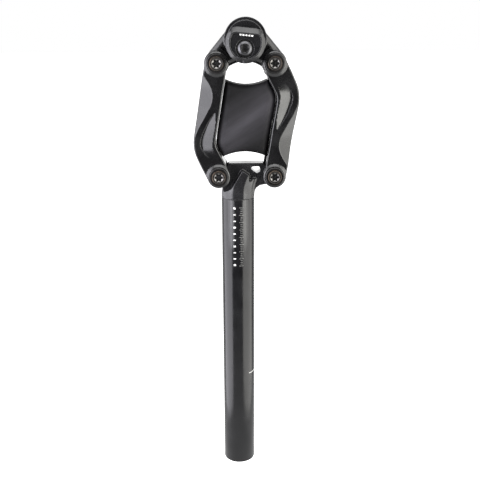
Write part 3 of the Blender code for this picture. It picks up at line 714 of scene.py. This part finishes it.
def link_field():
    """A link in its own view: its wide end's pivot at the origin, the other straight above."""
    outer, inner, flank = curve(LINK_OUTER), curve(LINK_INNER), curve(FLANK_EDGE)
    flank_low, flank_high = FLANK_EDGE[0][0], FLANK_EDGE[-1][0]
    pocket = pocket_field()
    pivots = ((0, 0), (0, LINK_LENGTH))
    notches = swing_notches()

    def field(x, y, z):
        reach = np.abs(y)
        sides = both((outer(z) - x) * SLANT_SHARE, (x - inner(z)) * SLANT_SHARE, 0.5)
        sides = both(sides, np.maximum(LINK_ENDS[0] - z, z - LINK_ENDS[1]), 0.5)
        body = both(sides, reach - LINK_FACE, 1.2)
        edge = np.where((z > flank_low) & (z < flank_high), flank(z), outer(z) - 6)
        twist = (reach - LINK_FACE + FLANK_SLANT * (edge - x)) / FLANK_STEEPNESS
        body = without(both(body, twist, 0.3), pocket(x, reach, z), 0.1)
        for pivot in pivots:
            cone = disc(x, z, pivot, EAR_TOP_RADIUS) + EAR_CONE * (reach - LINK_HALF_WIDTH)
            crown = both(cone / EAR_CONE_STEEPNESS, reach - LINK_HALF_WIDTH, 0.25)
            round_ear = both(disc(x, z, pivot, EAR_RADIUS), crown, 0.2)
            body = np.minimum(body, np.minimum(both(sides, crown, 0.4), round_ear))
        for pivot in pivots:
            gap = disc(x, z, pivot, UPPER_BOSS_RADIUS + FORK_CLEARANCE)
            body = without(body, np.maximum(gap, reach - EAR_INNER), 0.4)
        for (across, up), distance, half_width in notches:
            past = x * across + (z - LINK_LENGTH) * up + distance
            body = without(body, np.maximum(-past, reach - half_width), 0.4)
        for pivot in pivots:
            body = without(body, disc(x, z, pivot, EAR_BORE), 0.3)
        return body

    return field


def build_links():
    """Both links are the same forging, the front one turned end for end."""
    rear = solid("rear_link_forging", link_field(), (-21, -18.6, -9.2), (9.4, 18.6, 99.8),
                 0.52, ANODISED)
    front = bpy.data.objects.new("front_link_forging", rear.data.copy())
    bpy.context.scene.collection.objects.link(front)
    stand(rear, LOWER_REAR, -LINK_LEAN)
    stand(front, UPPER_FRONT, math.pi - LINK_LEAN)
    fit_in(rear, "rear_link", ["rear_link"])
    fit_in(front, "front_link", ["front_link"])


# ---------------------------------------------------------------- elastomer

RUBBER_HEIGHTS = (15.4, 77.2)
RUBBER_GAP = 0.45
RUBBER_DIP = 4.0
RUBBER_HALF_WIDTH = 14.6
RUBBER_ROUNDING = 6.5


def elastomer_outline():
    """Side outline of the rubber block, (x, z) from the lower rear pivot."""
    inner = curve(LINK_INNER)
    heights = np.linspace(*RUBBER_HEIGHTS, 25)
    spacing = (LOWER_FRONT.x - LOWER_REAR.x) / MM
    rear = [(float(inner(z)) + RUBBER_GAP, float(z)) for z in heights]
    front = [(spacing - float(inner(LINK_LENGTH - z)) - RUBBER_GAP, float(z))
             for z in heights[::-1]]
    top, foot = dip(rear[-1], front[0], -RUBBER_DIP), dip(front[-1], rear[0], RUBBER_DIP)
    return rear + top + front + foot


def dip(start, end, depth, steps=14):
    """Points between two corners on a shallow curve that dips by depth."""
    points = []
    for step in range(1, steps):
        share = step / steps
        points.append((start[0] + (end[0] - start[0]) * share,
                       start[1] + (end[1] - start[1]) * share + depth * 4 * share * (1 - share)))
    return points


def build_elastomer():
    """The rubber block between the links, which rides on the elastomer body."""
    sides = elastomer_outline()
    low = [min(point[k] for point in sides) for k in (0, 1)]
    high = [max(point[k] for point in sides) for k in (0, 1)]

    def field(x, y, z):
        return both(outline(sides, x, z), np.abs(y) - RUBBER_HALF_WIDTH, RUBBER_ROUNDING)

    block = solid("rubber_spring_block", field, (low[0], -15, low[1]), (high[0], 15, high[1]),
                  0.8, RUBBER)
    stand(block, LOWER_REAR, -LINK_LEAN)
    fit_in(block, "elastomer", ["elastomer"])
    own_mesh(block)


# ---------------------------------------------------------------- pivots

SEAT = LINK_HALF_WIDTH + 1.5
BOLT_TOP = SEAT + 1.3


def build_pivot_bolt(name):
    """A bolt with its head facing -Y: bronze rings, bright countersink, six-lobed socket, with
    near-black painted shade in the socket and in the groove between the rings.
    """
    shade_black, bronze, dark, bright, brown = range(5)
    # The black kind is painted shade in the socket and in the groove between the bronze rings, and a
    # plain dark ring on the face.
    rows = [
        (2.3, -7.9, 0, dark), (2.9, -8.5, 0, dark), (2.9, -SEAT, 0, dark), (5.3, -SEAT, 0, dark),
        (5.45, 0.9 - BOLT_TOP, 0, bronze), (5.45, 0.35 - BOLT_TOP, 0, bronze),
        (5.2, 0.1 - BOLT_TOP, 0, shade_black), (4.95, 0.25 - BOLT_TOP, 0, shade_black),
        (4.6, 0.25 - BOLT_TOP, 0, bronze), (4.4, -BOLT_TOP, 0, shade_black),
        (3.95, -BOLT_TOP, 0, brown), (3.75, 0.02 - BOLT_TOP, 0, bright),
        (3.6, 0.1 - BOLT_TOP, 0, bright), (2.95, 0.5 - BOLT_TOP, 0.5, shade_black),
        (2.85, 0.7 - BOLT_TOP, 0.55, shade_black), (2.8, 2.9 - BOLT_TOP, 0.55, shade_black),
        (1.3, 3.1 - BOLT_TOP, 0.0, dark), (0.5, 2.9 - BOLT_TOP, 0.0, dark),
    ]
    rings = [ring(radius, y, 72, lobes) for radius, y, lobes, _ in rows]
    kinds = [row[3] for row in rows[:-1]]
    return loft(name, rings, [SOCKET_SHADE_BLACK, BRONZE, DARK_STEEL, SILVER, BROWN], kinds, smooth_angle=40)


def build_pivots():
    """Washers, bushings and bolts of all four pivots, with both sides alike."""
    back, face, bore = -LINK_HALF_WIDTH - 0.3, -LINK_HALF_WIDTH - 1.2, 3.5
    washer_profile = [(bore, back), (bore, face), (WASHER_RADIUS - 0.45, face),
                      (WASHER_RADIUS, face + 0.4), (WASHER_RADIUS, back)]
    bushing_profile = [(5.0, -12.7), (7.8, -12.7), (7.8, -11.9), (5.9, -11.9), (5.9, -3.9),
                       (5.0, -3.9)]
    for name, point in PIVOTS.items():
        link = "rear_link" if name.endswith("rear") else "front_link"
        for side, hand in SIDES:
            turn = math.pi if side > 0 else 0.0
            washer = turned(f"{name}_pivot_washer_{hand}", washer_profile, [WASHER], 72,
                            rounding=0.12)
            bushing = turned(f"{name}_pivot_bushing_{hand}", bushing_profile, [BUSHING], 72,
                             rounding=0.12)
            bolt = build_pivot_bolt(f"{name}_pivot_bolt_{hand}")
            for piece in (washer, bushing, bolt):
                stand(piece, point, turn, "Z")
            fit_in(washer, link, [f"{name}_washer_{hand}"])
            fit_in(bolt, link, [f"{name}_bolt_{hand}"])
            home = "upper_head" if name.startswith("upper") else "root"
            fit_in(bushing, home, [f"{name}_bushing_{hand}"])


# ---------------------------------------------------------------- clamps
#
# The clamps' fields are about the barrel's axis, with Y turned so that it is outward.

RAIL_REACH = 22.0
RAIL_HEIGHT = 5.0
RAIL_GROOVE = 3.6
BOLT_DROP = 6.9
BOLT_BORE = 3.3
D_DROP = 2.7
CAP_RADIUS = 15.5
CAP_TOP = 8.8
CAP_FACE = 28.3
CAP_FLOOR = 27.3
CAP_CHAMFER_START = 25.4
CAP_CHAMFER_DEPTH = 2.9


def d_shape(x, z, radius, top, rounding):
    """A disc below the barrel's axis, with its top cut off flat."""
    return both(disc(x, z, (0, -D_DROP), radius), z - top, rounding)


def channel(x, y, z):
    """The groove that holds a saddle rail, a little flared at both ends."""
    return np.hypot(y - RAIL_REACH, z - RAIL_HEIGHT) - (RAIL_GROOVE + 0.9 * (x / 18) ** 2)


def chamfer(distance, y, width):
    """A slope that takes a width off an edge while it rises to the cap's face."""
    slope = distance * CAP_CHAMFER_DEPTH + (y - CAP_CHAMFER_START) * width
    return slope / math.hypot(CAP_CHAMFER_DEPTH, width)


def inner_clamp_field(side):
    """The cradle: a spigot in the barrel, a stepped flange and a seat for the rail."""
    def field(x, y, z):
        y = side * y
        radius = np.hypot(x, z)
        spigot = both(radius - BARREL_BORE + 0.3, np.maximum(7.4 - y, y - 14.5), 0.3)
        flange = both(radius - 16.75, np.maximum(13.7 - y, y - 16.3), 0.2)
        flange = np.minimum(flange, both(radius - 14.5, np.maximum(13.7 - y, y - 17.7), 0.6))
        seat = both(d_shape(x, z, 14.2, 8.4, 2.0), np.maximum(17.2 - y, y - 21.6), 0.3)
        clamp = np.minimum(either(flange, seat, 0.4), spigot)
        clamp = without(clamp, channel(x, y, z), 0.3)
        return without(clamp, disc(x, z, (0, -BOLT_DROP), BOLT_BORE), 0.2)

    return field


def outer_clamp_field(side):
    """The cap: a cut disc with a chamfered rim, a dish in its face and a well for the bolt."""
    def field(x, y, z):
        y = side * y
        cone = chamfer(disc(x, z, (0, -D_DROP), CAP_RADIUS), y, 2.6)
        slope = chamfer(z - CAP_TOP, y, 4.0)
        clamp = both(d_shape(x, z, CAP_RADIUS, CAP_TOP, 2.6), both(cone, slope, 1.6), 0.3)
        clamp = both(clamp, np.maximum(22.4 - y, y - CAP_FACE), 0.3)
        dish = both(d_shape(x, z, 12.0, 4.0, 1.8), CAP_FLOOR - y, 0.2)
        well = both(disc(x, z, (0, -BOLT_DROP), 6.9), 24.4 - y, 0.3)
        clamp = without(without(clamp, dish, 0.12), well, 0.15)
        clamp = without(clamp, channel(x, y, z), 0.3)
        return without(clamp, disc(x, z, (0, -BOLT_DROP), BOLT_BORE), 0.2)

    return field


def build_clamps():
    """A cradle and a cap for the saddle rail on each side."""
    for side, hand in SIDES:
        low, high = sorted((side * 7.2, side * 21.8))
        inner = solid(f"rail_cradle_{hand}", inner_clamp_field(side), (-17.5, low, -17.5),
                      (17.5, high, 17.5), 0.47, CLAMP_BLACK)
        low, high = sorted((side * 22.2, side * 28.5))
        outer = solid(f"rail_cap_{hand}", outer_clamp_field(side), (-15.8, low, -18.4),
                      (15.8, high, 9.0), 0.42, CLAMP_BLACK)
        for piece in (inner, outer):
            stand(piece, BARREL, CLAMP_TILT)
        fit_in(inner, "clamp_core", [f"inner_clamp_{hand}"])
        fit_in(outer, f"outer_clamp_{hand}", [f"outer_clamp_{hand}"])


def build_clamp_bolt():
    """The long socket bolt through the clamp, with its head at -Y."""
    rows = [
        (2.3, 27.2, 0), (3.0, 26.5, 0), (3.0, -25.9, 0), (5.5, -25.9, 0), (5.7, -26.05, 0),
        (5.7, -26.4, 0), (5.5, -26.6, 0), (3.75, -27.55, 0), (3.55, -27.6, 0), (3.4, -27.6, 0),
        (3.2, -27.35, 0), (2.72, -27.0, 0.12), (2.68, -24.4, 0.16), (0.5, -24.0, 0),
    ]
    rings = [ring(radius, y, 72, lobes) for radius, y, lobes in rows]
    # The socket's last three bands are near-black painted shade; the rest is dark steel.
    kinds = [1] * 10 + [0] * 3
    bolt = loft("clamp_through_bolt", rings, [SOCKET_SHADE_BLACK, DARK_STEEL], kinds, smooth_angle=40)
    down = -Vector((math.sin(CLAMP_TILT), 0, math.cos(CLAMP_TILT)))
    foot = BARREL + BOLT_DROP * MM * down
    stand(bolt, foot, CLAMP_TILT)
    fit_in(bolt, "outer_clamp_right", ["clamp_bolt"])


def build_cap_ticks():
    """Five short raised ticks on the right cap's face, in place of any lettering."""
    vertices, faces = [], []
    first, pitch, half_width, foot, top = -4.4, 2.25, 0.75, 2.35, 3.6
    for k in range(5):
        left, right = first + pitch * k - half_width, first + pitch * k + half_width
        start = len(vertices)
        for y in (-CAP_FLOOR - 0.06, -CAP_FLOOR - 0.22):
            for x, z in ((left, foot), (right, foot), (right, top), (left, top)):
                vertices.append((x * MM, y * MM, z * MM))
        quads = [(0, 1, 2, 3), (7, 6, 5, 4), (0, 4, 5, 1), (1, 5, 6, 2), (2, 6, 7, 3), (3, 7, 4, 0)]
        faces += [tuple(start + corner for corner in quad) for quad in quads]
    ticks = add_mesh("cap_ticks", vertices, faces, [PAINT], 30)
    tidy_normals(ticks)
    stand(ticks, BARREL, CLAMP_TILT)
    fit_in(ticks, "outer_clamp_right")


def dress_cad_nodes():
    """Finishes for the inner pieces that keep their CAD shape."""
    looks = {"clamp_nut": DARK_STEEL, "clamp_washer": DARK_STEEL}
    looks.update({f"{name}_shaft": STEEL for name in PIVOTS})
    for name, material in looks.items():
        piece = frame["nodes"][name]
        for slot in piece.material_slots:
            slot.material = material


# ---------------------------------------------------------------- studio


def build_camera():
    """Stands before the right side at the clamp's height, and looks a little down."""
    camera = bpy.data.objects.new("camera", bpy.data.cameras.new("camera"))
    bpy.context.scene.collection.objects.link(camera)
    camera.data.sensor_width = 36
    camera.data.lens = 52.5
    camera.data.clip_start = 0.01
    level = Matrix(((1, 0, 0), (0, 0, -1), (0, 1, 0))).to_4x4()
    yaw, pitch, roll = (math.radians(angle) for angle in (-1.23, -16.38, -0.32))
    turn = Matrix.Rotation(yaw, 4, "Z") @ Matrix.Rotation(pitch, 4, "X") @ level
    place = Matrix.Translation((-0.0110, -0.5839, 0.3844))
    camera.matrix_world = place @ turn @ Matrix.Rotation(roll, 4, "Z")
    bpy.context.scene.camera = camera


WHITE, COOL, WARM = (1, 1, 1), (0.95, 0.94, 1.0), (1.0, 0.99, 0.95)
AIM = Vector((0.007, 0, 0.25))
UPRIGHT_BELOW = 0.3

# Soft lights: (name, azimuth in degrees, height over the aim, distance, size, radiance,
# colour).
PANELS = (
    ("left_softbox", -82, 0.04, 0.6, (0.87, 1.22), 3.3, COOL),
    ("right_softbox", 70, 0.04, 0.6, (1.0, 1.22), 2.4, WARM),
    ("left_fill", -62, 0.1, 0.5, (0.2, 0.35), 1.8, COOL),
    ("right_fill", 62, 0.1, 0.5, (0.2, 0.35), 1.6, WARM),
    ("top_softbox", 0, 0.65, 0.33, (0.7, 0.4), 3.3, WHITE),
    ("left_strip", -42, 0.045, 0.4, (0.16, 0.24), 4.9, COOL),
    ("right_strip", 43, 0.045, 0.4, (0.16, 0.24), 3.7, WARM),
)


def add_panel(name, azimuth, height, distance, size, radiance, colour):
    """A soft area light that faces the object. Azimuth 0 is on the camera's side, and a
    low panel stands upright."""
    turn = math.radians(azimuth)
    spot = AIM + Vector((distance * math.sin(turn), -distance * math.cos(turn), height))
    light = bpy.data.lights.new(name, "AREA")
    light.shape = "RECTANGLE"
    light.size, light.size_y = size
    light.energy = math.pi * size[0] * size[1] * radiance
    light.color = colour
    panel = bpy.data.objects.new(name, light)
    panel.location = spot
    away = spot - AIM
    if height < UPRIGHT_BELOW:
        away.z = 0
    panel.rotation_euler = away.to_track_quat("Z", "Y").to_euler()
    panel.visible_camera = False
    bpy.context.scene.collection.objects.link(panel)


def grey_ramp(tree, share, stops):
    """A grey level that changes with a share from 0 to 1, through (share, level) stops."""
    ramp = node(tree, "ShaderNodeValToRGB", {"Fac": share})
    elements = ramp.color_ramp.elements
    while len(elements) < len(stops):
        elements.new(0.5)
    for element, (position, level) in zip(elements, stops):
        element.position = position
        element.color = (level, level, level, 1)
    return ramp.outputs[0]


def build_world():
    """White behind the object for the camera; dark in front and bright behind for gloss."""
    world = bpy.data.worlds.new("studio")
    bpy.context.scene.world = world
    world.use_nodes = True
    tree = world.node_tree
    tree.nodes.clear()
    way = node(tree, "ShaderNodeTexCoord").outputs["Generated"]
    parts = node(tree, "ShaderNodeSeparateXYZ", {"Vector": way})
    behind = grey_ramp(tree, spread(tree, parts.outputs["Y"], -1, 1, 0, 1), (
        (0.0, 0.065), (0.45, 0.065), (0.72, 0.125), (0.86, 0.5), (0.95, 1.4), (1.0, 2.2)))
    above = grey_ramp(tree, spread(tree, parts.outputs["Z"], -1, 1, 0, 1), (
        (0.0, 1.0), (0.25, 0.8), (0.32, 0.0), (0.66, 0.0), (0.8, 0.8)))
    brightest = node(tree, "ShaderNodeMixRGB", {
        "Fac": 1.0, "Color1": behind, "Color2": above}, blend_type="LIGHTEN")
    lit = node(tree, "ShaderNodeBackground", {"Color": brightest.outputs[0], "Strength": 1.0})
    seen = node(tree, "ShaderNodeBackground", {"Color": (1, 1, 1, 1), "Strength": 1.0})
    straight = node(tree, "ShaderNodeLightPath").outputs["Is Camera Ray"]
    mixed = node(tree, "ShaderNodeMixShader", {0: straight, 1: lit.outputs[0], 2: seen.outputs[0]})
    node(tree, "ShaderNodeOutputWorld", {"Surface": mixed.outputs[0]})


def build_floor():
    """A wide pale floor well below the post, bright enough to leave no shadow."""
    half, level = 30.0, -0.35
    corners = [(-half, -half), (half, -half), (half, half), (-half, half)]
    floor = add_mesh("studio_floor", [(x, y, level) for x, y in corners], [(0, 1, 2, 3)])
    material = bpy.data.materials.new("pale_floor")
    material.use_nodes = True
    shader = material.node_tree.nodes["Principled BSDF"]
    shader.inputs["Base Color"].default_value = (0.9, 0.9, 0.9, 1)
    shader.inputs["Roughness"].default_value = 0.9
    shader.inputs["Emission Color"].default_value = (1, 1, 1, 1)
    shader.inputs["Emission Strength"].default_value = 1.0
    floor.data.materials.append(material)
    floor.visible_glossy = False
    floor.visible_diffuse = False


def build_studio():
    build_camera()
    build_world()
    build_floor()
    for panel in PANELS:
        add_panel(*panel)
    bpy.context.scene.view_settings.view_transform = "Standard"


build_studio()
build_tube()
build_tube_marks()
build_lower_head()
build_upper_head()
build_links()
build_elastomer()
build_pivots()
build_clamps()
build_clamp_bolt()
build_cap_ticks()
dress_cad_nodes()
